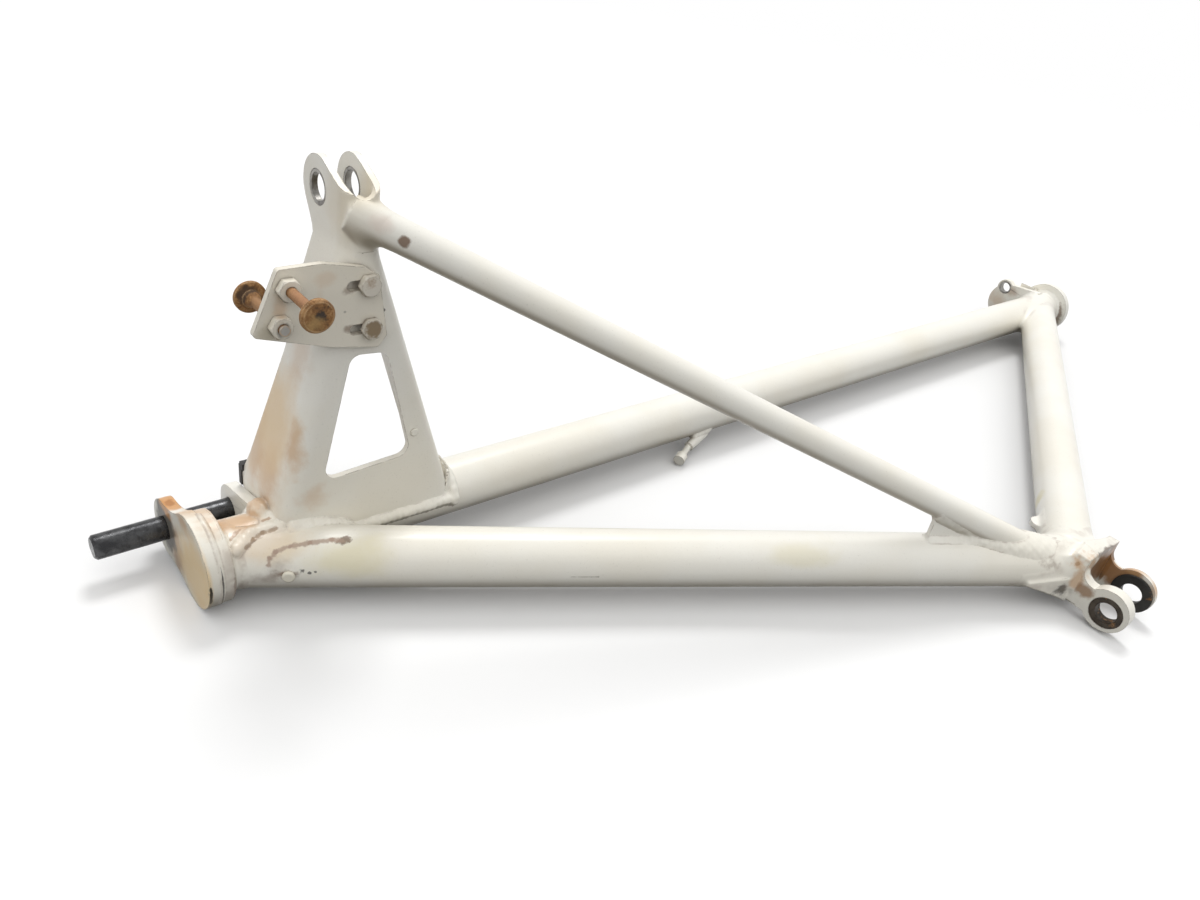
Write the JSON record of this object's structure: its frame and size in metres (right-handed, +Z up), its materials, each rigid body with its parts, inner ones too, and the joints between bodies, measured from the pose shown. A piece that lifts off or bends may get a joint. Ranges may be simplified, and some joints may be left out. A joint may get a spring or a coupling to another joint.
{
  "type": "main landing gear brace",
  "caption": "Welded tube triangle with an upright bent-sheet tower, a diagonal strut, forked lugs at its corners, a loose hinge pin and a slotted bracket with stop screws.",
  "frame": {"origin": "hinge pin's centreline at the outer face of the front outer lug", "axes": "+X along the hinge tube towards the rear lug, +Y away from the lower clevis, +Z up from the floor it lies on"},
  "size_m": [0.9044, 0.3383, 0.2147],
  "materials": {
    "white_paint": "worn gloss",
    "dark_steel": "dull dark steel",
    "rusty_steel": "rusted steel",
    "bright_steel": "worn plated steel",
    "black_rubber": "matt"
  },
  "bodies": {
    "frame": {"hinge_tube": "white_paint", "front_tube": "white_paint", "cross_tube": "white_paint", "diagonal_tube": "white_paint", "diagonal_gusset": "white_paint", "front_outer_lug": "white_paint", "front_lug_collar": "white_paint", "front_inner_lug": "white_paint", "rear_end_disc": "white_paint", "rear_inner_lug": "white_paint", "rear_lug_bush": "bright_steel", "rear_lug_wedge": "white_paint", "lower_clevis": "white_paint", "clevis_front_bush": "bright_steel", "clevis_rear_bush": "dark_steel", "clevis_side_plate": "white_paint", "tower_channel": "white_paint", "upper_clevis_bushes": "bright_steel", "bracket_bolts": "bright_steel", "bracket_washers": "bright_steel", "bracket_nuts": "bright_steel", "tube_plug": "white_paint", "web_rivet": "white_paint", "cross_tube_tab": "white_paint", "lower_stud": "white_paint", "edge_clip": "black_rubber"},
    "pin": {"hinge_pin": "dark_steel"},
    "bracket": {"stop_bracket": "white_paint"},
    "front_screw": {"front_stop_bolt": "rusty_steel"},
    "rear_screw": {"rear_stop_bolt": "rusty_steel"},
    "front_nut": {"front_stop_nut": "white_paint"},
    "rear_nut": {"rear_stop_nut": "bright_steel"}
  },
  "joints": [
    {"name": "hinge_pin_slide", "type": "slide", "parent": "frame", "child": "pin", "axis": [0.9999, 0, 0.0167], "range_m": [-0.03, 0.03]},
    {"name": "bracket_set", "type": "slide", "parent": "frame", "child": "bracket", "axis": [1, 0, 0], "range_m": [-0.003, 0.0076]},
    {"name": "front_nut_turn", "type": "hinge", "parent": "bracket", "child": "front_nut", "pos_m": [0.0428, -0.058, 0.148], "axis": [0, 1, 0], "range_deg": [-1080, 1080]},
    {"name": "front_screw_travel", "type": "slide", "parent": "bracket", "child": "front_screw", "axis": [0, 1, 0], "range_m": [-0.00238, 0.00238]},
    {"name": "rear_nut_turn", "type": "hinge", "parent": "bracket", "child": "rear_nut", "pos_m": [0.039, -0.058, 0.1316], "axis": [0, 1, 0], "range_deg": [-1080, 1080]},
    {"name": "rear_screw_travel", "type": "slide", "parent": "bracket", "child": "rear_screw", "axis": [0, 1, 0], "range_m": [-0.00238, 0.00238]}
  ],
  "couplings": [
    {"joint": "front_nut_turn", "follows": "front_screw_travel", "rad_per_m": -7915.8},
    {"joint": "rear_nut_turn", "follows": "rear_screw_travel", "rad_per_m": -7915.8}
  ]
}
